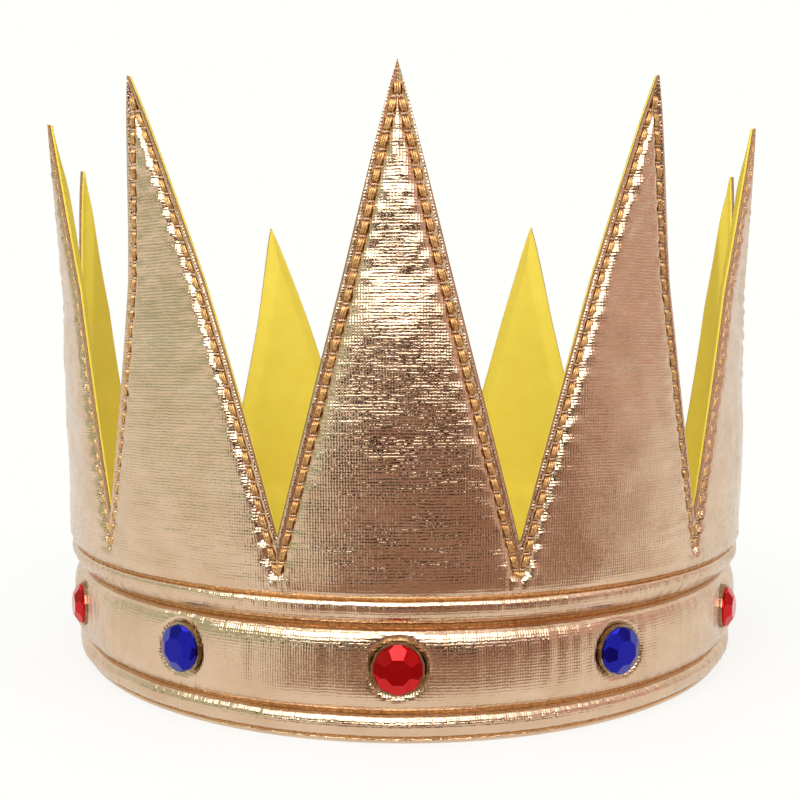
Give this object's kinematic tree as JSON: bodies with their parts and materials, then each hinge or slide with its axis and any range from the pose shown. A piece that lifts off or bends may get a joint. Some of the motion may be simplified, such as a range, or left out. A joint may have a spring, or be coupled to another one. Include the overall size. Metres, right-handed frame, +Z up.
{
  "type": "fabric costume crown",
  "caption": "Sewn ring crown of padded gold foil fabric, with tall points, a yellow lining and faceted jewels along the band.",
  "frame": {"origin": "centre of the circle that the hem stands on, at the surface it rests on", "axes": "+Z up along the crown's axis, -Y towards the front point and its red jewel, +X towards the crown's side that is on the right seen from the front"},
  "size_m": [0.1966, 0.1966, 0.1323],
  "materials": {
    "foil_gold": "satin metallic",
    "lining_yellow": "matte",
    "thread_gold": "metallic",
    "gem_red": "gloss",
    "gem_blue": "gloss",
    "brass": "polished"
  },
  "bodies": {
    "root": {"gold_cover": "foil_gold", "yellow_lining": "lining_yellow", "gem_red_1": "gem_red", "gem_cup_red_1": "brass", "gem_red_2": "gem_red", "gem_cup_red_2": "brass", "gem_red_3": "gem_red", "gem_cup_red_3": "brass", "gem_red_4": "gem_red", "gem_cup_red_4": "brass", "gem_red_5": "gem_red", "gem_cup_red_5": "brass", "gem_red_6": "gem_red", "gem_cup_red_6": "brass", "gem_blue_1": "gem_blue", "gem_cup_blue_1": "brass", "gem_blue_2": "gem_blue", "gem_cup_blue_2": "brass", "gem_blue_3": "gem_blue", "gem_cup_blue_3": "brass", "gem_blue_4": "gem_blue", "gem_cup_blue_4": "brass", "gem_blue_5": "gem_blue", "gem_cup_blue_5": "brass", "gem_blue_6": "gem_blue", "gem_cup_blue_6": "brass"}
  },
  "joints": []
}
